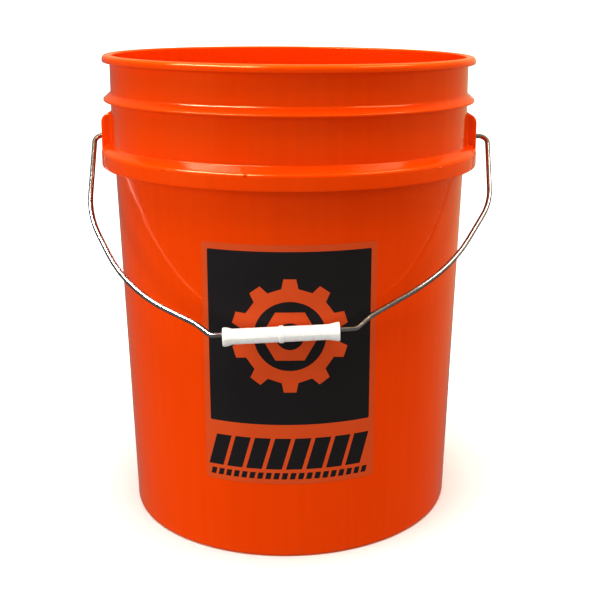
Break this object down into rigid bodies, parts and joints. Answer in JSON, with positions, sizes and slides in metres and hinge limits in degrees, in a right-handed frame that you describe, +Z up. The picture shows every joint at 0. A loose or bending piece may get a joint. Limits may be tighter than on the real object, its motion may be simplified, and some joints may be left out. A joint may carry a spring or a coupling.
{
  "type": "pail with bail handle",
  "caption": "Round tapered plastic pail with stacking skirt, flange and rim, a swinging wire bail with a loose tube grip, and a wrapped front label.",
  "frame": {"origin": "centre of the pail's underside, on the plane it stands on", "axes": "+Z up along the pail's axis, X through the two bail pivots, -Y towards the labelled front where the bail rests"},
  "size_m": [0.3221, 0.3035, 0.368],
  "materials": {
    "pail_plastic": "moulded polyethylene, soft satin gloss",
    "label_print": "printed film, satin",
    "zinc_wire": "bright galvanised wire",
    "grip_plastic": "white moulded polyethylene, glossy"
  },
  "bodies": {
    "pail_body": {"pail": "pail_plastic", "label_film": "label_print"},
    "bail": {"bail_wire": "zinc_wire"},
    "grip": {"bail_grip": "grip_plastic"}
  },
  "joints": [
    {"name": "bail_swing", "type": "hinge", "parent": "pail_body", "child": "bail", "pos_m": [0, 0, 0.3022], "axis": [-1, 0, 0], "range_deg": [0, 260.4]},
    {"name": "grip_spin", "type": "hinge", "parent": "bail", "child": "grip", "pos_m": [-0.0071, -0.1447, 0.17992], "axis": [0.9989, 0.0358, 0.0303], "continuous": true}
  ]
}
